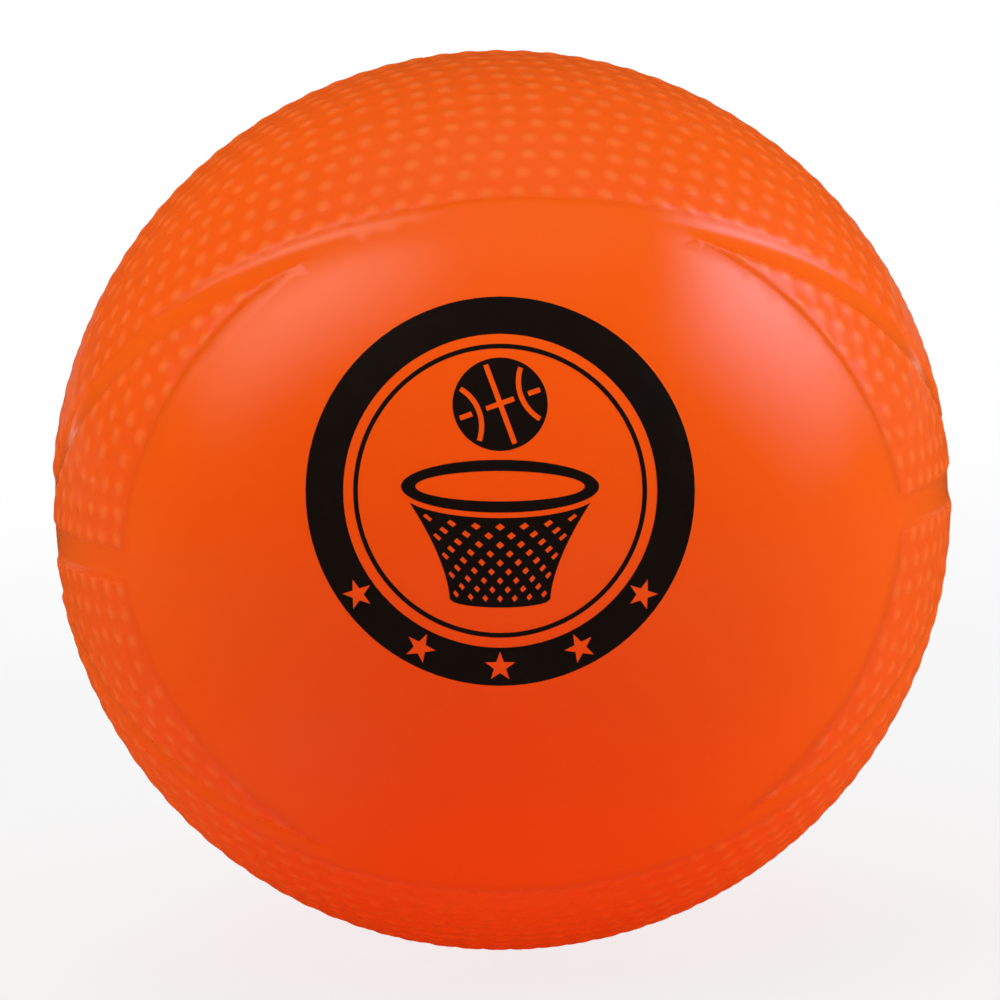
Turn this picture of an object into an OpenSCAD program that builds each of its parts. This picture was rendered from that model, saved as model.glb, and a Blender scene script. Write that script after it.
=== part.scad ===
// Mini basketball: a hollow moulded vinyl ball, pumped up through a needle valve.
// Millimetres. Origin at the ball's centre, smooth panel towards -Y, valve at +X, +Z up.

/* [Ball] */
// Diameter over the pebbled panels
ball_d = 101.6; // [95:0.1:130]
// Wall thickness under the channels
wall = 2; // [1.4:0.1:3]
// Height of the pebbled panels above the channel floor
panel_rise = 0.5; // [0.3:0.05:0.8]

/* [Channels] */
// Great-circle channels, all through the two poles
channel_count = 4; // [3:1:6]
// Width of a channel's floor
channel_w = 2.2; // [1.6:0.1:3.2]
// Width of the sloping shoulder along every raised edge
shoulder_w = 0.9; // [0.4:0.05:1.2]
// Bare margin of the smooth disc at each pole, outside the valve
pole_margin = 1.6; // [1:0.1:4]

/* [Smooth panel] */
// Angle from the panel's centre to its top and bottom edge
panel_high_angle = 46.8; // [44:0.1:49]
// Angle past the panel's centre from which each of its two arcs is struck
panel_arc_shift = 9.7; // [6:0.1:11]

/* [Valve housing] */
// Diameter of the neck that fills the hole in the ball's wall
neck_d = 11; // [10.5:0.1:14]
// Diameter of the flange bonded to the inside of the wall
flange_d = 20; // [16:0.5:26]
// Thickness of the flange at its rim
flange_t = 1.4; // [1:0.1:2]
// Diameter of the barrel inside the ball
barrel_d = 9.8; // [9:0.1:10.4]
// Length of the housing, from the ball's surface inwards
housing_l = 10.5; // [9.5:0.1:14]

/* [Valve plug] */
// Diameter of the plug's head
head_d = 7; // [6.4:0.1:8]
// Thickness of the plug's head
head_t = 1.4; // [1:0.1:2]
// Depth of the head below the ball's surface
head_sink = 0.5; // [0.2:0.1:1]
// Diameter of the plug's stem
stem_d = 5.4; // [4.6:0.1:6]
// Diameter of the bulb that holds the plug in the housing
bulb_d = 7.4; // [6.6:0.1:8.6]
// Length of the bulb
bulb_l = 3.6; // [3:0.1:5]
// Diameter of the needle passage
needle_d = 2; // [1.6:0.1:2.4]
// Depth of the needle passage, from the plug's face to its closed end
needle_depth = 9; // [7:0.1:11]
// Diameter of the funnel at the passage's mouth
funnel_d = 3.4; // [2.6:0.1:4]

/* [Hidden] */
$fn = 96;
r_top = ball_d / 2;
r_floor = r_top - panel_rise;
r_cavity = r_floor - wall;
shoulder_slope = shoulder_w / panel_rise;
pole_disc_angle = asin((neck_d / 2 + pole_margin) / r_floor);
head_face = r_floor - head_sink;
head_back = head_face - head_t;
housing_end = r_floor - housing_l;
flange_back = sqrt(r_cavity * r_cavity - flange_d * flange_d / 4) - flange_t;
funnel_l = (funnel_d - needle_d) / 2;
over = 1;
under = panel_rise / 5;

// Cuts one great-circle channel with sloping shoulders, in the plane z = 0
module channel_ring() {
    low = r_floor - under;
    high = r_top + over;
    low_half = channel_w / 2 - shoulder_slope * under;
    high_half = channel_w / 2 + shoulder_slope * (high - r_floor);
    rotate_extrude()
        polygon([
            [low, -low_half],
            [high, -high_half],
            [high, high_half],
            [low, low_half]
        ]);
}

// Clears everything within an angle of +Z, with the same shoulder along its edge
module cap_cutter(angle) {
    out_dir = [sin(angle), cos(angle)];
    side_dir = [cos(angle), -sin(angle)];
    foot = (r_floor - under) * out_dir - shoulder_slope * under * side_dir;
    brim = (r_top + over) * out_dir + shoulder_slope * (panel_rise + over) * side_dir;
    rotate_extrude()
        polygon([
            [0, foot.y],
            foot,
            brim,
            [brim.x, r_top + over],
            [0, r_top + over]
        ]);
}

// Oval cut for the smooth panel: a wide arc above and one below, whose ends meet in a channel
module smooth_panel_cutter() {
    rotate([90, 0, 0])
        intersection() {
            rotate([panel_arc_shift, 0, 0]) cap_cutter(panel_high_angle + panel_arc_shift);
            rotate([-panel_arc_shift, 0, 0]) cap_cutter(panel_high_angle + panel_arc_shift);
        }
}

// The layer that stands up between the channels
module raised_panels() {
    difference() {
        sphere(r = r_top);
        for (i = [0 : channel_count - 1])
            rotate([i * 180 / channel_count, 0, 0]) channel_ring();
        rotate([0, 90, 0]) cap_cutter(pole_disc_angle);
        rotate([0, -90, 0]) cap_cutter(pole_disc_angle);
        smooth_panel_cutter();
    }
}

// Hollow vinyl skin with a hole for the valve housing
module shell() {
    color([0.89, 0.27, 0.07])
        difference() {
            union() {
                sphere(r = r_floor);
                raised_panels();
            }
            sphere(r = r_cavity);
            rotate([0, 90, 0]) cylinder(d = neck_d, h = r_top + over);
        }
}

// Soft vinyl bush: neck through the wall, flange behind it, barrel inwards
module valve_housing() {
    color([0.8, 0.24, 0.07])
        rotate([0, 90, 0])
            difference() {
                union() {
                    intersection() {
                        sphere(r = r_floor);
                        translate([0, 0, flange_back]) cylinder(d = neck_d, h = r_top - flange_back);
                    }
                    intersection() {
                        sphere(r = r_cavity);
                        translate([0, 0, flange_back]) cylinder(d = flange_d, h = r_top - flange_back);
                    }
                    translate([0, 0, housing_end])
                        cylinder(d = barrel_d, h = flange_back - housing_end + flange_t / 2);
                }
                translate([0, 0, head_back]) cylinder(d = head_d, h = r_top - head_back);
                translate([0, 0, housing_end - over]) cylinder(d = stem_d, h = r_top - housing_end);
            }
}

// Rubber plug: head, stem, holding bulb, and a needle passage closed at its end
module valve_plug() {
    color([0.1, 0.1, 0.1])
        rotate([0, 90, 0])
            rotate_extrude()
                polygon([
                    [0, housing_end - bulb_l],
                    [stem_d * 0.3, housing_end - bulb_l],
                    [bulb_d / 2, housing_end - bulb_l * 0.4],
                    [bulb_d / 2, housing_end],
                    [stem_d / 2, housing_end],
                    [stem_d / 2, head_back],
                    [head_d / 2, head_back],
                    [head_d / 2, head_face],
                    [funnel_d / 2, head_face],
                    [needle_d / 2, head_face - funnel_l],
                    [needle_d / 2, head_face - needle_depth],
                    [0, head_face - needle_depth - needle_d / 4]
                ]);
}

shell();
valve_housing();
valve_plug();
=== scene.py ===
import math
import random

import bpy
import numpy as np
from mathutils import Matrix, Vector
from mathutils.geometry import delaunay_2d_cdt
from mathutils.kdtree import KDTree


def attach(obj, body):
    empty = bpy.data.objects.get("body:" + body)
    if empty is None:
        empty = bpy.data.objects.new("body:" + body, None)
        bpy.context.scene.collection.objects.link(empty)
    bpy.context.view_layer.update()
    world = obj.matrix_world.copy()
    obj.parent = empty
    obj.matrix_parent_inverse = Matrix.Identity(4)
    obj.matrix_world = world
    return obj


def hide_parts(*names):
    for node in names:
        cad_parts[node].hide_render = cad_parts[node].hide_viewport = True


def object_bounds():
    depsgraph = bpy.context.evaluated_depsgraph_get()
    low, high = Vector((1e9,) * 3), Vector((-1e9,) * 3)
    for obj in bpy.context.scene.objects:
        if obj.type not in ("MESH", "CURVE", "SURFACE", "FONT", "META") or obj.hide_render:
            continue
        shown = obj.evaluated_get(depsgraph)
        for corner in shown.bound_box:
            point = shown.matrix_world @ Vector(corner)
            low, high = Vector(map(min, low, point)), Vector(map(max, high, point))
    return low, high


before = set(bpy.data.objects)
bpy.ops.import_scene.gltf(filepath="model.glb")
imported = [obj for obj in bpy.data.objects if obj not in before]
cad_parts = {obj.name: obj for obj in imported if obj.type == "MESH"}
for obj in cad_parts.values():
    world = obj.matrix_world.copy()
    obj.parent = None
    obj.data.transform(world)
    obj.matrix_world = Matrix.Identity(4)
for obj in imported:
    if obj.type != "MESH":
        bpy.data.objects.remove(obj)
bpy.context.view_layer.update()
mm = 0.001
print("frame loaded:", sorted(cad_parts))


class Wire:
    # wraps a shader socket, so that maths on it reads as an expression

    def __init__(self, tree, socket=None):
        self.tree = tree
        self.socket = socket

    def node(self, kind, settings=None, sockets=None, out=0):
        made = self.tree.nodes.new(kind)
        for key, value in (settings or {}).items():
            setattr(made, key, value)
        for key, value in (sockets or {}).items():
            if isinstance(value, Wire):
                self.tree.links.new(value.socket, made.inputs[key])
            else:
                made.inputs[key].default_value = value
        return Wire(self.tree, made.outputs[out] if len(made.outputs) else None)

    def maths(self, operation, first, second):
        return self.node("ShaderNodeMath", {"operation": operation}, {0: first, 1: second})

    def __add__(self, other):
        return self.maths("ADD", self, other)

    def __radd__(self, other):
        return self.maths("ADD", other, self)

    def __sub__(self, other):
        return self.maths("SUBTRACT", self, other)

    def __rsub__(self, other):
        return self.maths("SUBTRACT", other, self)

    def __mul__(self, other):
        return self.maths("MULTIPLY", self, other)

    def __rmul__(self, other):
        return self.maths("MULTIPLY", other, self)

    def feed(self, shader, name):
        self.tree.links.new(self.socket, shader.inputs[name])


def newMaterial(name):
    material = bpy.data.materials.new(name)
    material.use_nodes = True
    tree = material.node_tree
    return material, tree.nodes["Principled BSDF"], Wire(tree)


def blendColours(wire, amount, first, second):
    return wire.node(
        "ShaderNodeMix", {"data_type": "RGBA"}, {0: amount, 6: first, 7: second}, out=2
    )


def speckle(wire, place, scale, detail=2.0):
    return wire.node(
        "ShaderNodeTexNoise", None, {"Vector": place, "Scale": scale, "Detail": detail}, out="Fac"
    )


def bumpIt(wire, shader, look, height):
    wire.node(
        "ShaderNodeBump", None, {"Strength": look["bump"], "Distance": look["bumpHeight"], "Height": height}
    ).feed(shader, "Normal")


# the camera, fitted to the photograph: degrees round the ball's centre, metres, the lens in millimetres
shot = {
    "azimuth": -1.97, "elevation": 8.69, "roll": 3.5, "distance": 0.508,
    "sensor": 36.0, "lens": 161.55, "shift": -0.0015, "clip": (0.01, 50.0),
}


def facing(azimuth, elevation, roll):
    # right, up and outward directions at a place round the ball
    a, e, r = (math.radians(x) for x in (azimuth, elevation, roll))
    out = Vector((math.sin(a) * math.cos(e), -math.cos(a) * math.cos(e), math.sin(e)))
    level = Vector((math.cos(a), math.sin(a), 0.0))
    above = out.cross(level)
    right = level * math.cos(r) - above * math.sin(r)
    return right, out.cross(right), out


def standCamera():
    right, up, out = facing(shot["azimuth"], shot["elevation"], shot["roll"])
    bpy.ops.object.camera_add()
    camera = bpy.context.active_object
    camera.name = "photo_camera"
    turn = Matrix((right, up, out)).transposed().to_4x4()
    camera.matrix_world = Matrix.Translation(out * shot["distance"]) @ turn
    camera.data.sensor_width = shot["sensor"]
    camera.data.lens = shot["lens"]
    camera.data.shift_x = shot["shift"]
    camera.data.clip_start, camera.data.clip_end = shot["clip"]
    bpy.context.scene.camera = camera


bpy.ops.object.select_all(action="DESELECT")
standCamera()
print("camera stands")


# the vinyl skin: radii and rises in millimetres, everything along the surface in degrees
skin = {
    "floor": 50.3, "cavity": 48.3, "fieldRise": 0.31, "pebbleRise": 0.11,
    "channelHalf": 1.25, "channelWall": 1.25, "panelWall": 0.8, "poleWall": 1.0,
    "wallLines": (0.0, 0.34, 0.67, 1.0), "lineStep": 0.8, "lineSlack": 0.05, "midLineEvery": 3,
    "panelHigh": 46.8, "panelShift": 9.7, "panelFill": 2.0, "fillMargin": 0.9,
    "poleDisc": 8.1, "poleSides": 72, "hole": 6.28, "holeSides": 64, "cavityRings": 32,
    "rimSides": 720, "rimClear": 0.3, "closestPoint": 0.15, "smoothAngle": 35,
    "rows": 7, "rowStart": 3.05, "rowStep": 3.225, "rowSlack": 0.35, "rowShift": 0.1,
    "pitch": 3.5, "wander": 0.1, "closest": 2.75, "fillPitch": 1.0, "panelClear": 0.3, "poleClear": 0.7,
    "settleRounds": 8, "settleReach": 3.3, "settlePush": 0.25, "settleHold": 0.08,
    "pebbleShare": (0.9, 1.08), "ringFrom": 0.55,
    "pebbleReach": 1.16, "pebbleRings": ((0.5, 6), (0.96, 10), (1.16, 11)), "seed": 11,
}
poleAxis, upAxis = np.array((1.0, 0.0, 0.0)), np.array((0.0, 0.0, 1.0))
seamNormals = np.array([(0.0, -math.sin(a), math.cos(a)) for a in np.radians((0, 45, 90, 135))])
arcTilt = math.radians(skin["panelShift"])
arcCentres = np.array([(0.0, -math.cos(arcTilt), s * math.sin(arcTilt)) for s in (-1, 1)])


def onBall(points):
    return points / np.linalg.norm(points, axis=1)[:, None]


def seamGap(points):
    return np.degrees(np.arcsin(np.clip(np.abs(points @ seamNormals.T), 0, 1))).min(axis=1)


def panelGap(points):
    arcs = np.degrees(np.arccos(np.clip(points @ arcCentres.T, -1, 1))).max(axis=1)
    return arcs - skin["panelHigh"] - skin["panelShift"]


def poleGap(points):
    return np.degrees(np.arccos(np.clip(np.abs(points[:, 0]), 0, 1))) - skin["poleDisc"]


def raised(points):
    # 0 on channel floors, smooth panel and pole discs, 1 on the pebbled panels, sloping walls between
    channel = (seamGap(points) - skin["channelHalf"]) / skin["channelWall"]
    panel = panelGap(points) / skin["panelWall"]
    pole = poleGap(points) / skin["poleWall"]
    return np.clip(np.minimum(np.minimum(channel, panel), pole), 0, 1)


def chord(degrees):
    return 2 * math.sin(math.radians(degrees) / 2)


def spiral(spacing):
    # points spread evenly over the whole ball
    count = int(4 * math.pi / (0.866 * math.radians(spacing) ** 2))
    step = np.arange(count)
    x = 1 - (2 * step + 1) / count
    turn = step * math.pi * (3 - math.sqrt(5))
    flat = np.sqrt(1 - x * x)
    return np.stack((x, flat * np.cos(turn), flat * np.sin(turn)), axis=1)


def thin(points, gap):
    # keeps points in their order and drops any that comes too near to one already kept
    size = chord(gap)
    cells, kept = {}, []
    around = [(a, b, c) for a in (-1, 0, 1) for b in (-1, 0, 1) for c in (-1, 0, 1)]
    for index, point in enumerate(points.tolist()):
        cell = [math.floor(c / size) for c in point]
        near = (
            other
            for a, b, c in around
            for other in cells.get((cell[0] + a, cell[1] + b, cell[2] + c), ())
        )
        if all(math.dist(point, other) >= size for other in near):
            kept.append(index)
            cells.setdefault(tuple(cell), []).append(point)
    return points[kept]


def treeOf(points):
    tree = KDTree(len(points))
    for index, point in enumerate(points):
        tree.insert(point, index)
    tree.balance()
    return tree


def settle(tops):
    # neighbours push each other apart a little, as far as the first row along a seam allows
    reach = chord(skin["settleReach"])
    for _ in range(skin["settleRounds"]):
        tree = treeOf(tops)
        moved = tops.copy()
        for index, top in enumerate(tops):
            for other, number, gap in tree.find_range(top, reach):
                if number != index:
                    moved[index] += (top - np.array(other)) * (skin["settlePush"] * (reach - gap) / gap)
        moved = onBall(moved)
        stay = seamGap(moved) < skin["rowStart"] - skin["settleHold"]
        moved[stay] = tops[stay]
        tops = moved
    return tops


def layPebbles():
    # rows run along both sides of every seam and meet in the middle of each panel
    draw = random.Random(skin["seed"])
    rows = []
    for row in range(skin["rows"]):
        away = skin["rowStart"] + row * skin["rowStep"]
        count = round(360 * math.cos(math.radians(away)) / skin["pitch"])
        for normal in seamNormals:
            ahead = np.cross(normal, poleAxis)
            for side in (1, -1):
                shift = 0.5 * (row % 2) + draw.uniform(-skin["rowShift"], skin["rowShift"])
                along = [360 * (i + shift) / count + draw.gauss(0, skin["wander"]) for i in range(count)]
                off = [away + draw.gauss(0, 0.5 * skin["wander"]) for i in range(count)]
                t, d = np.radians(along)[:, None], np.radians(off)[:, None]
                spots = np.cos(d) * (np.cos(t) * poleAxis + np.sin(t) * ahead) + side * np.sin(d) * normal
                rows.append(spots[seamGap(spots) > away - skin["rowSlack"]])
    fill = spiral(skin["fillPitch"])
    rows.append(fill[seamGap(fill) > skin["rowStart"] - skin["lineSlack"]])
    tops = settle(thin(np.concatenate(rows), skin["closest"]))
    return tops[(panelGap(tops) > skin["panelClear"]) & (poleGap(tops) > skin["poleClear"])]


def seamLines():
    # points along the middle and the walls of every channel
    lines, slack = [], skin["lineSlack"]
    turn = np.radians(np.arange(0, 360, skin["lineStep"]))[:, None]
    for normal in seamNormals:
        ahead = np.cross(normal, poleAxis)
        ring = np.cos(turn) * poleAxis + np.sin(turn) * ahead
        lines.append(ring[:: skin["midLineEvery"]])
        for part in skin["wallLines"]:
            off = math.radians(skin["channelHalf"] + part * skin["channelWall"])
            for side in (1, -1):
                line = math.cos(off) * ring + side * math.sin(off) * normal
                lines.append(line[seamGap(line) > math.degrees(off) - slack])
    points = np.concatenate(lines)
    return points[(panelGap(points) > -slack) & (poleGap(points) > -slack)]


def circleOn(axis, side, angle, count):
    turn = np.radians(np.arange(count) * 360 / count)[:, None]
    other = np.cross(axis, side)
    a = math.radians(angle)
    return math.cos(a) * axis + math.sin(a) * (np.cos(turn) * side + np.sin(turn) * other)


def edgeLines():
    # points along the walls of the smooth panel and of the pole discs
    lines = []
    for part in skin["wallLines"]:
        angle = skin["panelHigh"] + skin["panelShift"] + part * skin["panelWall"]
        count = int(360 * math.sin(math.radians(angle)) / skin["lineStep"])
        for centre in arcCentres:
            arc = circleOn(centre, poleAxis, angle, count)
            lines.append(arc[panelGap(arc) < part * skin["panelWall"] + 0.01])
        angle = skin["poleDisc"] + part * skin["poleWall"]
        for pole in (poleAxis, -poleAxis):
            lines.append(circleOn(pole, upAxis, angle, skin["poleSides"]))
    points = np.concatenate(lines)
    return points[seamGap(points) > skin["channelHalf"] - skin["lineSlack"]]


def plainFill():
    # sparse points over the smooth panel and the far pole disc
    points = spiral(skin["panelFill"])
    disc = (points[:, 0] < 0) & (poleGap(points) < -skin["fillMargin"])
    return points[(panelGap(points) < -skin["fillMargin"]) | disc]


def pebbleRings(tops, tree):
    # each pebble's top and the rings of points round it, as far as the next pebble
    draw = random.Random(skin["seed"] + 1)
    start = np.array([draw.uniform(0, 2 * math.pi) for _ in tops])
    side = onBall(np.cross(tops, np.roll(tops, 1, axis=1)))
    other = np.cross(tops, side)
    rings = [tops]
    for angle, count in skin["pebbleRings"]:
        a = math.radians(angle)
        for i in range(count):
            turn = (start + 2 * math.pi * i / count)[:, None]
            ring = math.cos(a) * tops + math.sin(a) * (np.cos(turn) * side + np.sin(turn) * other)
            own = [tree.find(point)[1] == index for index, point in enumerate(ring)]
            rings.append(ring[own])
        start = start + math.pi / count
    points = np.concatenate(rings)
    return points[raised(points) > skin["ringFrom"]]


def skinHeight(points, tops, tree):
    draw = random.Random(skin["seed"] + 2)
    share = np.array([draw.uniform(*skin["pebbleShare"]) for _ in tops])
    found = [tree.find(point) for point in points]
    gap = np.degrees(2 * np.arcsin(np.array([f[2] for f in found]) / 2)) / skin["pebbleReach"]
    dome = np.clip(1 - gap * gap, 0, 1) * share[[f[1] for f in found]]
    up = raised(points)
    return skin["floor"] + up * (skin["fieldRise"] + skin["pebbleRise"] * dome), up, dome


def joinHalves(points, rim, hole):
    # each half of the ball is laid flat from its pole, netted with triangles, and put back
    faces = []
    x = points[:, 0]
    for side in (1, -1):
        chosen = np.flatnonzero((x * side > 0) | (np.arange(len(points)) < rim))
        flat = points[chosen][:, 1:] / (1 + side * x[chosen])[:, None]
        place = {number: spot for spot, number in enumerate(chosen.tolist())}
        ring = [place[h] for h in hole] if side > 0 else []
        fixed = [(ring[i], ring[i - 1]) for i in range(len(ring))]
        net = delaunay_2d_cdt([Vector(p) for p in flat], fixed, [], 0, 1e-10, True)
        first = [chosen[ids[0]] for ids in net[3]]
        for face in net[2]:
            a, b, c = (points[first[i]] for i in face)
            outward = np.dot(np.cross(b - a, c - a), a + b + c) > 0
            corner = [int(first[i]) for i in face]
            if side > 0 and set(corner) <= set(hole):
                continue
            faces.append(corner if outward else corner[::-1])
    return faces


def buildSkin():
    tops = layPebbles()
    tree = treeOf(tops)
    print("pebbles laid:", len(tops))
    rim = circleOn(poleAxis, upAxis, 90, skin["rimSides"])
    hole = circleOn(poleAxis, upAxis, skin["hole"], skin["holeSides"])
    drawn = np.concatenate((hole, pebbleRings(tops, tree), seamLines(), edgeLines()))
    rest = np.concatenate((thin(drawn, skin["closestPoint"]), plainFill()))
    rest = rest[np.abs(np.degrees(np.arcsin(rest[:, 0]))) > skin["rimClear"]]
    rest = rest[(rest[:, 0] < 0) | (poleGap(rest) > skin["hole"] - skin["poleDisc"] - 0.01)]
    points = np.concatenate((rim, rest))
    height, up, dome = skinHeight(points, tops, tree)
    faces = joinHalves(points, len(rim), list(range(len(rim), len(rim) + len(hole))))
    mesh = bpy.data.meshes.new("ball_skin")
    mesh.from_pydata((points * height[:, None] * mm).tolist(), [], faces)
    for name, values in (("raised", up), ("pebble", dome * up)):
        mesh.attributes.new(name, "FLOAT", "POINT").data.foreach_set("value", values.astype(np.float32))
    ball = bpy.data.objects.new("ball_skin", mesh)
    bpy.context.scene.collection.objects.link(ball)
    print("skin netted:", len(points), "points,", len(faces), "triangles")
    return ball


def selectVerts(obj, test):
    # selects by place, from object mode, and goes back to edit mode
    bpy.ops.object.mode_set(mode="EDIT")
    bpy.ops.mesh.select_mode(type="VERT")
    bpy.ops.mesh.select_all(action="DESELECT")
    bpy.ops.object.mode_set(mode="OBJECT")
    for vert in obj.data.vertices:
        vert.select = test(vert.co)
    bpy.ops.object.mode_set(mode="EDIT")


def only(obj):
    bpy.ops.object.select_all(action="DESELECT")
    obj.select_set(True)
    bpy.context.view_layer.objects.active = obj


def hollowOut(ball):
    # the inner wall: a sphere opened at the valve and bridged to the hole in the skin
    bpy.ops.object.select_all(action="DESELECT")
    cavity, rings = skin["cavity"] * mm, skin["cavityRings"]
    bpy.ops.mesh.primitive_uv_sphere_add(
        segments=skin["holeSides"], ring_count=rings, radius=cavity, rotation=(0, math.pi / 2, 0)
    )
    inner = bpy.context.active_object
    bpy.ops.object.transform_apply(location=True, rotation=True, scale=True)
    selectVerts(inner, lambda co: co.x > cavity * 0.99999)
    bpy.ops.mesh.delete(type="VERT")
    opening = cavity * math.cos(math.pi / rings)
    selectVerts(inner, lambda co: co.x > opening - 0.1 * mm)
    neck = skin["floor"] * mm * math.sin(math.radians(skin["hole"]))
    wider = neck / (cavity * math.sin(math.pi / rings))
    bpy.ops.transform.resize(value=(1, wider, wider))
    bpy.ops.transform.translate(value=(math.sqrt(cavity**2 - neck**2) - opening, 0, 0))
    bpy.ops.mesh.select_all(action="SELECT")
    bpy.ops.mesh.flip_normals()
    bpy.ops.object.mode_set(mode="OBJECT")
    only(ball)
    inner.select_set(True)
    bpy.ops.object.join()
    bpy.ops.object.mode_set(mode="EDIT")
    bpy.ops.mesh.select_mode(type="EDGE")
    bpy.ops.mesh.select_all(action="DESELECT")
    bpy.ops.mesh.select_non_manifold()
    bpy.ops.mesh.bridge_edge_loops()
    bpy.ops.object.mode_set(mode="OBJECT")
    bpy.ops.object.shade_smooth_by_angle(angle=math.radians(skin["smoothAngle"]))


# the vinyl's colour carries painted shade: one direction points to where it is reddest, as if shaded, and
# the tint's numbers say how fast it changes; low and high are the shaded and lit colours
vinyl = {
    "paintedShadeAxis": (-0.15, -0.75, -0.66), "tintSlope": 9.8, "tintSides": 70.0, "tintPower": 2.4,
    "tintCloud": 0.08, "valleyShade": 0.15, "crownHighlight": 0.7,
    "cloud": 45.0, "grain": 2600.0, "peel": 420.0,
    "fieldRough": 0.15, "cloudRough": 0.08, "grainRough": 0.05, "bump": 0.12, "bumpHeight": 0.00005,
    # crown is the painted highlight colour on the pebbles' tops
    "low": (0.79, 0.044, 0.0016, 1), "high": (0.80, 0.108, 0.005, 1), "crown": (0.82, 0.155, 0.030, 1),
    "roughness": 0.16, "specular": 0.5,
}


def vinylLook(name, look):
    material, shader, wire = newMaterial(name)
    place = wire.node("ShaderNodeTexCoord", out="Object")
    cloud = speckle(wire, place, vinyl["cloud"], 3.0)
    grain = speckle(wire, place, vinyl["grain"])
    peel = speckle(wire, place, vinyl["peel"])
    up = wire.node("ShaderNodeAttribute", {"attribute_name": "raised"}, out="Fac")
    crown = wire.node("ShaderNodeAttribute", {"attribute_name": "pebble"}, out="Fac")
    # painted shade: redder low on the front and between the pebbles, as if shaded, and yellower over the
    # top and round the sides, as if lit
    along = wire.node(
        "ShaderNodeVectorMath", {"operation": "DOT_PRODUCT"}, {0: place, 1: vinyl["paintedShadeAxis"]}, out="Value"
    )
    sideways = wire.node("ShaderNodeSeparateXYZ", None, {0: place}, out="X")
    near = along * vinyl["tintSlope"] + 0.5 - vinyl["tintSides"] * sideways * sideways
    tone = 1.0 - wire.maths("POWER", near, vinyl["tintPower"])
    # painted shade: the tone drops in the valleys between the pebbles; the cloud term is random tone
    tone = tone + vinyl["tintCloud"] * (cloud - 0.5) - vinyl["valleyShade"] * (up - crown)
    colour = blendColours(wire, tone, look["low"], look["high"])
    # painted highlight: the pebbles' crowns are painted paler, less so where the painted shade is deeper
    blendColours(wire, vinyl["crownHighlight"] * crown * tone, colour, look["crown"]).feed(shader, "Base Color")
    rough = look["roughness"] + vinyl["fieldRough"] * up
    rough = rough + vinyl["cloudRough"] * (cloud - 0.5) + vinyl["grainRough"] * (grain - 0.5)
    rough.feed(shader, "Roughness")
    bumpIt(wire, shader, vinyl, 0.6 * peel + 0.4 * grain)
    shader.inputs["Specular IOR Level"].default_value = look["specular"]
    return material


def keepPiece(obj, name, slot, *nodes):
    obj.name = obj.data.name = name
    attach(obj, "root")
    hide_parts(*nodes)


ball = buildSkin()
hollowOut(ball)
ball.data.materials.append(vinylLook("orange_vinyl", vinyl))
keepPiece(ball, "shell_skin", "vinyl_skin", "shell")
print("shell made:", len(ball.data.polygons), "faces")


# valve parts as half sections in millimetres: distance along the valve's axis, then radius
bush = {
    "section": (
        (48.4, 3.54), (50.18, 3.54), (50.0, 5.44), (47.98, 5.44), (47.86, 6.5), (47.25, 10.0),
        (45.85, 10.0), (45.85, 4.9), (39.8, 4.9), (39.8, 2.7), (48.4, 2.7),
    ),
    "edge": 0.16, "steps": 72, "bevelFrom": 28, "smoothAngle": 40, "roughness": 0.34, "specular": 0.4,
    # the bush takes the vinyl's painted shade too, between its shaded low colour and its lit high colour
    "low": (0.66, 0.038, 0.0045, 1), "high": (0.66, 0.090, 0.006, 1), "crown": (0.66, 0.090, 0.006, 1),
}
plug = {
    "section": (
        (36.2, 0.0), (36.2, 1.62), (38.36, 3.7), (39.8, 3.7), (39.8, 2.68), (48.4, 2.68), (48.4, 3.48),
        (49.8, 3.48), (49.8, 1.7), (49.1, 1.0), (40.8, 1.0), (40.3, 0.0),
    ),
    "edge": 0.14, "steps": 72, "bevelFrom": 28, "smoothAngle": 40,
    "colour": (0.022, 0.021, 0.020, 1), "worn": (0.05, 0.048, 0.045, 1), "dust": 900.0, "grain": 5200.0,
    "roughness": 0.62, "dustRough": 0.2, "bump": 0.3, "bumpHeight": 0.00004,
}


def turnPiece(part, ring):
    # spins a half section round the valve's axis and rounds its edges
    points = [Vector((x, 0, r)) * mm for x, r in part["section"]]
    count = len(points)
    links = [(i, (i + 1) % count) for i in range(count if ring else count - 1)]
    mesh = bpy.data.meshes.new("section")
    mesh.from_pydata(points, links, [])
    piece = bpy.data.objects.new("section", mesh)
    bpy.context.scene.collection.objects.link(piece)
    only(piece)
    bpy.ops.object.mode_set(mode="EDIT")
    bpy.ops.mesh.select_all(action="SELECT")
    bpy.ops.mesh.spin(steps=part["steps"], angle=2 * math.pi, center=(0, 0, 0), axis=(1, 0, 0))
    bpy.ops.mesh.select_all(action="SELECT")
    bpy.ops.mesh.remove_doubles(threshold=1e-6)
    bpy.ops.mesh.normals_make_consistent(inside=False)
    bpy.ops.object.mode_set(mode="OBJECT")
    rounding = piece.modifiers.new("rounding", "BEVEL")
    rounding.width = part["edge"] * mm
    rounding.segments = 3
    rounding.limit_method = "ANGLE"
    rounding.angle_limit = math.radians(part["bevelFrom"])
    bpy.ops.object.modifier_apply(modifier=rounding.name)
    bpy.ops.object.shade_smooth_by_angle(angle=math.radians(part["smoothAngle"]))
    return piece


def rubberLook(name, look):
    material, shader, wire = newMaterial(name)
    place = wire.node("ShaderNodeTexCoord", out="Object")
    dust = speckle(wire, place, look["dust"], 4.0)
    grain = speckle(wire, place, look["grain"])
    blendColours(wire, dust * dust, look["colour"], look["worn"]).feed(shader, "Base Color")
    (look["roughness"] + look["dustRough"] * (dust - 0.5)).feed(shader, "Roughness")
    bumpIt(wire, shader, look, grain + 0.6 * dust)
    return material


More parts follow.
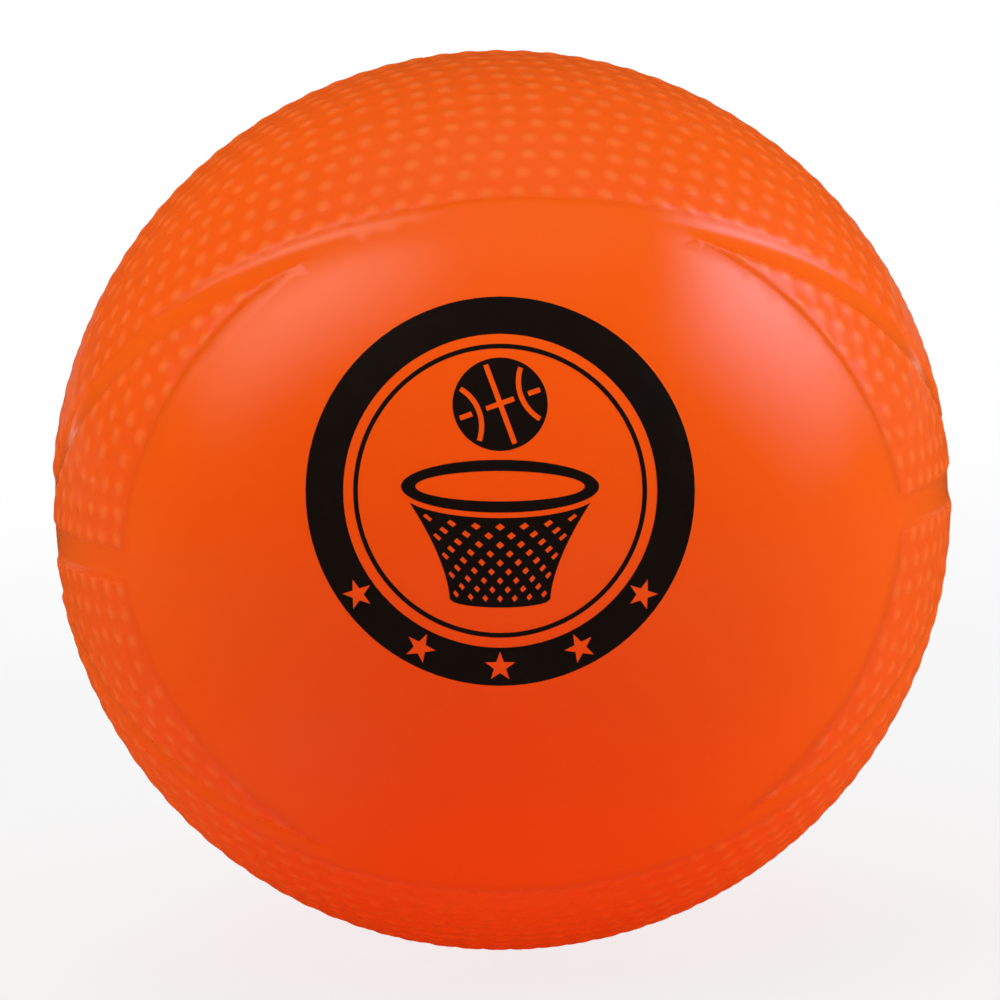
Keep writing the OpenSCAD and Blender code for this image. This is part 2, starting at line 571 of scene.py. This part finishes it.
housing = turnPiece(bush, True)
housing.data.materials.append(vinylLook("darker_vinyl", bush))
keepPiece(housing, "valve_bush", "vinyl_bush", "valve_housing")
rubber = turnPiece(plug, False)
rubber.data.materials.append(rubberLook("black_rubber", plug))
keepPiece(rubber, "needle_plug", "rubber_plug", "valve_plug")
print("valve made")


# the ink on the smooth panel, drawn flat in millimetres and then laid on the ball
ink = {
    "azimuth": -2.07, "elevation": 9.85, "roll": 3.5, "lift": 0.03, "sink": 0.015, "grid": 1.3,
    "band": (20.6, 16.4), "line": (15.3, 14.8),
    "starRing": 18.5, "stars": (-54, -27, 0, 27, 54), "star": (1.7, 0.68),
    "ball": (0.0, 8.9, 4.9), "ballTilt": 20,
    "groove": 0.27, "grooveArc": (6.9, 4.6), "grooveGap": 0.5, "arcSteps": 20,
    "rim": (0.4, 10.2, 2.7, 8.7, 1.55), "net": (9.3, 5.2, 0.55, -11.2), "netBelly": 1.6, "netFoot": 0.9,
    "mesh": (7, 5), "strand": 0.085, "smallestGap": 0.004, "netSteps": 24,
    "merge": 0.0005, "smoothAngle": 30,
    "colour": (0.005, 0.003, 0.002, 1), "thinner": (0.012, 0.007, 0.005, 1),
    "streak": 380.0, "pores": 3800.0, "roughness": 0.42, "streakRough": 0.16, "poreRough": 0.10,
    "specular": 0.07, "bump": 0.12, "bumpHeight": 0.00003,
}


def ringOf(x, y, wide, high, count=96):
    turns = [2 * math.pi * i / count for i in range(count)]
    return [(x + wide * math.cos(t), y + high * math.sin(t)) for t in turns]


def starAt(angle):
    x, y = (ink["starRing"] * f(math.radians(angle - 90)) for f in (math.cos, math.sin))
    turn = math.radians(angle)
    points = []
    for i in range(10):
        a, r = turn + math.pi / 2 + math.pi * i / 5, ink["star"][i % 2]
        points.append((x + r * math.cos(a), y + r * math.sin(a)))
    return points


def ballGrooves():
    # a cross and two bowed lines left open in a solid disc
    cx, cy, r = ink["ball"]
    half, gap, steps = ink["groove"], ink["grooveGap"], ink["arcSteps"]
    end = r - gap
    off, bow = ink["grooveArc"]
    arm = off - bow - half - gap
    cross = [(-half, -end), (half, -end), (half, -half), (arm, -half), (arm, half), (half, half)]
    cross += [(half, end), (-half, end), (-half, half), (-arm, half), (-arm, -half), (-half, -half)]
    shapes = [cross]
    for side in (1, -1):
        start = off - bow + half + gap
        stub = math.sqrt(end * end - half * half)
        bar = ((start, -half), (stub, -half), (stub, half), (start, half))
        shapes.append([(side * x, y) for x, y in bar])
        reach = math.acos((off * off + bow * bow - end * end) / (2 * off * bow))
        turns = [reach * (2 * i / steps - 1) for i in range(steps + 1)]
        outer = [(off - (bow + half) * math.cos(t), (bow + half) * math.sin(t)) for t in turns]
        inner = [(off - (bow - half) * math.cos(t), (bow - half) * math.sin(t)) for t in turns]
        shapes.append([(side * x, y) for x, y in outer + inner[::-1]])
    c, n = math.cos(math.radians(ink["ballTilt"])), math.sin(math.radians(ink["ballTilt"]))
    return [[(cx + x * c - y * n, cy + x * n + y * c) for x, y in shape] for shape in shapes]


def cutTo(shape, axis, limit, sign):
    # trims an outline at a straight line across the net
    kept = []
    for here, after in zip(shape, shape[1:] + shape[:1]):
        inside, staysIn = ((limit - p[axis]) * sign >= 0 for p in (here, after))
        if inside:
            kept.append(here)
        if inside != staysIn:
            part = (limit - here[axis]) / (after[axis] - here[axis])
            kept.append(tuple(h + part * (a - h) for h, a in zip(here, after)))
    return kept


def netPoint(across, down):
    # a place on the net, from side to side and from the hoop to the foot
    y, wide, high = ink["rim"][:3]
    top, foot, gap, low = ink["net"]
    half = foot + (top - foot) * (1 - down) ** ink["netBelly"]
    hang = y - high * math.sqrt(1 - (across * top / wide) ** 2) - gap
    base = low - ink["netFoot"] * math.sqrt(max(0.0, 1 - across * across))
    return across * half, hang + (base - hang) * down


def netShapes():
    # the net's outline, then the diamonds left open between its strands
    steps = [i / ink["netSteps"] for i in range(ink["netSteps"] + 1)]
    outline = [netPoint(2 * s - 1, 0) for s in steps] + [netPoint(1, s) for s in steps[1:]]
    outline += [netPoint(1 - 2 * s, 1) for s in steps[1:]] + [netPoint(-1, 1 - s) for s in steps[1:-1]]
    shapes = [outline]
    columns, rows = ink["mesh"]
    wide, high, strand = 1 / columns, 0.5 / rows, ink["strand"]
    side, end = 1 - strand, strand / 3
    limits = ((0, side, 1), (0, -side, -1), (1, 1 - end, 1), (1, end, -1))
    hole = 1 - strand / wide
    for row in range(2 * rows + 1):
        for column in range(columns + 1):
            x = -1 + (2 * column + row % 2) * wide
            y = row * high
            cell = [(x - wide * hole, y), (x, y - high * hole), (x + wide * hole, y), (x, y + high * hole)]
            for axis, limit, sign in limits:
                cell = cutTo(cell, axis, limit, sign) if cell else cell
            if len(cell) > 2:
                ends = list(zip(cell, cell[1:] + cell[:1]))
                if abs(sum(a[0] * b[1] - b[0] * a[1] for a, b in ends)) > ink["smallestGap"]:
                    shapes.append([netPoint(*p) for p in cell])
    return shapes


def drawPrint():
    y, wide, high, innerWide, innerHigh = ink["rim"]
    bx, by, br = ink["ball"]
    shapes = [ringOf(0, 0, r, r) for r in ink["band"] + ink["line"]]
    shapes += [starAt(angle) for angle in ink["stars"]]
    shapes += [ringOf(0, y, wide, high), ringOf(0, y, innerWide, innerHigh), ringOf(bx, by, br, br)]
    shapes += ballGrooves() + netShapes()
    curve = bpy.data.curves.new("front_print", "CURVE")
    curve.dimensions = "2D"
    curve.fill_mode = "BOTH"
    for shape in shapes:
        spline = curve.splines.new("POLY")
        spline.points.add(len(shape) - 1)
        for point, (a, b) in zip(spline.points, shape):
            point.co = (a, b, 0, 1)
        spline.use_cyclic_u = True
    film = bpy.data.objects.new("front_print", curve)
    bpy.context.scene.collection.objects.link(film)
    only(film)
    bpy.ops.object.convert(target="MESH")
    film = bpy.context.active_object
    # cut into small fields, so that the film follows the ball
    bpy.ops.object.mode_set(mode="EDIT")
    size = ink["band"][0]
    for axis in ((1, 0, 0), (0, 1, 0)):
        for i in range(int(2 * size / ink["grid"]) + 1):
            bpy.ops.mesh.select_all(action="SELECT")
            off = -size + (i + 0.5) * ink["grid"]
            bpy.ops.mesh.bisect(plane_co=[a * off for a in axis], plane_no=axis)
    bpy.ops.mesh.select_all(action="SELECT")
    bpy.ops.mesh.remove_doubles(threshold=ink["merge"])
    bpy.ops.object.mode_set(mode="OBJECT")
    right, up, out = facing(ink["azimuth"], ink["elevation"], ink["roll"])
    for vert in film.data.vertices:
        a, b = vert.co.x, vert.co.y
        far = math.hypot(a, b)
        turn = far / skin["floor"]
        side = (right * a + up * b) / far if far > 1e-6 else right
        vert.co = (out * math.cos(turn) + side * math.sin(turn)) * (skin["floor"] - ink["sink"]) * mm
    thick = film.modifiers.new("film", "SOLIDIFY")
    thick.thickness = (ink["lift"] + ink["sink"]) * mm
    thick.offset = 1.0
    bpy.ops.object.modifier_apply(modifier=thick.name)
    bpy.ops.object.shade_smooth_by_angle(angle=math.radians(ink["smoothAngle"]))
    return film


def inkLook(name, look):
    material, shader, wire = newMaterial(name)
    place = wire.node("ShaderNodeTexCoord", out="Object")
    streak = speckle(wire, place, look["streak"], 4.0)
    pores = speckle(wire, place, look["pores"])
    blendColours(wire, streak * pores, look["colour"], look["thinner"]).feed(shader, "Base Color")
    rough = look["roughness"] + look["streakRough"] * (streak - 0.5) + look["poreRough"] * (pores - 0.5)
    rough.feed(shader, "Roughness")
    bumpIt(wire, shader, look, pores)
    shader.inputs["Specular IOR Level"].default_value = look["specular"]
    return material


film = drawPrint()
film.data.materials.append(inkLook("black_ink", ink))
keepPiece(film, "front_print", None)
print("print laid:", len(film.data.polygons), "faces")


# the lamps face the ball from an azimuth, elevation and roll; a shift moves one in its own plane, in metres
# a graded softbox gives where its glow starts, is full, starts to fall and ends, from 0 to 1
lamps = {
    "right_softbox": {
        "from": (83, 25, -24), "distance": 0.55, "shift": (-0.04, -0.02), "size": (0.46, 0.70),
        "power": 4.0, "colour": (0.62, 0.78, 1.04),
        "across": (0.0, 0.86, 0.906, 0.992), "upward": (0.08, 0.67, 0.67, 1.0),
    },
    "left_softbox": {
        "from": (-67, 47, 37), "distance": 0.60, "shift": (0.036, -0.015), "size": (0.384, 0.93),
        "power": 2.3, "colour": (1.0, 0.97, 0.90),
        "across": (0.0, 0.19, 0.22, 1.0), "upward": (0.0, 0.50, 0.54, 1.0),
    },
    "ceiling_fill": {"from": (0, 80, 0), "distance": 1.0, "size": (1.0, 1.0), "power": 6.4},
    "back_fill": {"from": (180, 55, 0), "distance": 1.0, "size": (1.0, 0.60), "power": 2.8},
    "front_fill": {"from": (6, 6, 0), "distance": 1.2, "size": (0.9, 0.40), "power": 8.4},
    "left_fill": {"from": (-114, 4, 0), "distance": 1.0, "size": (0.6, 0.50), "power": 8.2},
    "right_fill": {"from": (114, -2, 0), "distance": 1.0, "size": (0.6, 0.50), "power": 8.8},
    "table_fill": {"from": (180, -70, 0), "distance": 0.8, "size": (0.8, 0.80), "power": 6.6},
}
# the floor looks pale, and white behind the ball: "white" and "mirror" say how far behind, in metres
room = {
    "world": (0.06, 0.034, 0.022, 1), "sky": (0.22, 0.22, 0.21, 1), "zenith": (0.75, 1.0),
    "floor": (0.52, 0.52, 0.52, 1), "floorRough": 0.9, "dark": (0.14, 0.05, 0.02, 1), "floorSize": 12.0,
    "glow": (0.80, 1.0), "white": (0.06, 0.42), "mirror": (1.2, 3.2),
    # reflections see the floor in its dark colour, with a painted pool of light round a spot left of the
    # ball
    "paintedPatch": (0.16, 0.155, 0.15, 1), "paintedPatchSpot": (-0.05, -0.046, 0.0), "paintedPatchReach": (0.042, 0.0),
}


def ramp(wire, value, reach, ends=(0.0, 1.0)):
    return wire.node("ShaderNodeMapRange", {"interpolation_type": "SMOOTHSTEP"}, {
        "Value": value, "From Min": reach[0], "From Max": reach[1], "To Min": ends[0], "To Max": ends[1]
    })


def gradeSoftbox(light, lamp):
    # the glow fades over the softbox's own face
    light.data.use_nodes = True
    wire = Wire(light.data.node_tree)
    place = wire.node("ShaderNodeNewGeometry", out="Parametric")
    glow = 1.0
    for axis, key in (("X", "across"), ("Y", "upward")):
        along = wire.node("ShaderNodeSeparateXYZ", None, {0: place}, out=axis)
        start, full, fall, end = lamp[key]
        glow = glow * ramp(wire, along, (start, full)) * ramp(wire, along, (fall, end), (1.0, 0.0))
    glow.feed(light.data.node_tree.nodes["Emission"], "Strength")


def lightRoom():
    for name, lamp in lamps.items():
        right, up, out = facing(*lamp["from"])
        bpy.ops.object.light_add(type="AREA")
        light = bpy.context.active_object
        light.name = name
        light.data.shape = "RECTANGLE"
        light.data.size, light.data.size_y = lamp["size"]
        light.data.energy = lamp["power"]
        if "across" in lamp:
            light.data.color = lamp["colour"]
            gradeSoftbox(light, lamp)
        else:
            light.visible_glossy = False  # the fills leave no highlight of their own
            light.data.cycles.use_multiple_importance_sampling = False
        aside, above = lamp.get("shift", (0.0, 0.0))
        centre = out * lamp["distance"] + right * aside + up * above
        light.matrix_world = Matrix.Translation(centre) @ Matrix((right, up, out)).transposed().to_4x4()
    world = bpy.data.worlds.new("studio")
    world.use_nodes = True
    wire = Wire(world.node_tree)
    towards = wire.node("ShaderNodeTexCoord", out="Generated")
    high = wire.node("ShaderNodeSeparateXYZ", None, {0: towards}, out="Z")
    sky = blendColours(wire, ramp(wire, high, room["zenith"]), room["world"], room["sky"])
    sky.feed(world.node_tree.nodes["Background"], "Color")
    bpy.context.scene.world = world


def layFloor():
    bpy.ops.object.select_all(action="DESELECT")
    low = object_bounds()[0].z
    bpy.ops.mesh.primitive_plane_add(size=room["floorSize"], location=(0, 0, low))
    floor = bpy.context.active_object
    floor.name = "studio_floor"
    material, shader, wire = newMaterial("pale_floor")
    shader.inputs["Roughness"].default_value = room["floorRough"]
    shader.inputs["Specular IOR Level"].default_value = 0.0
    seen, mirrored, through = (
        wire.node("ShaderNodeLightPath", out="Is " + ray + " Ray")
        for ray in ("Camera", "Glossy", "Transmission")
    )
    # painted pool of light: a pale patch left of the ball, seen only in reflections
    spot = wire.node("ShaderNodeTexCoord", out="Object")
    centre = room["paintedPatchSpot"]
    away = wire.node("ShaderNodeVectorMath", {"operation": "DISTANCE"}, {0: spot, 1: centre}, out="Value")
    mirror = blendColours(wire, ramp(wire, away, room["paintedPatchReach"]), room["dark"], room["paintedPatch"])
    blendColours(wire, mirrored, room["floor"], mirror).feed(shader, "Base Color")
    behind = wire.node("ShaderNodeSeparateXYZ", None, {0: spot}, out="Y")
    white = seen * ramp(wire, behind, room["white"], room["glow"])
    white = white + (mirrored + through) * ramp(wire, behind, room["mirror"])
    glow = wire.node("ShaderNodeEmission", None, {"Strength": 1.0})
    plain = Wire(wire.tree, shader.outputs[0])
    mixed = wire.node("ShaderNodeMixShader", None, {0: white, 1: plain, 2: glow})
    mixed.feed(material.node_tree.nodes["Material Output"], "Surface")
    floor.data.materials.append(material)
    floor.visible_shadow = False  # a light table: the lamp below shines through it


lightRoom()
layFloor()
bpy.context.scene.view_settings.view_transform = "Standard"
print("room lit")
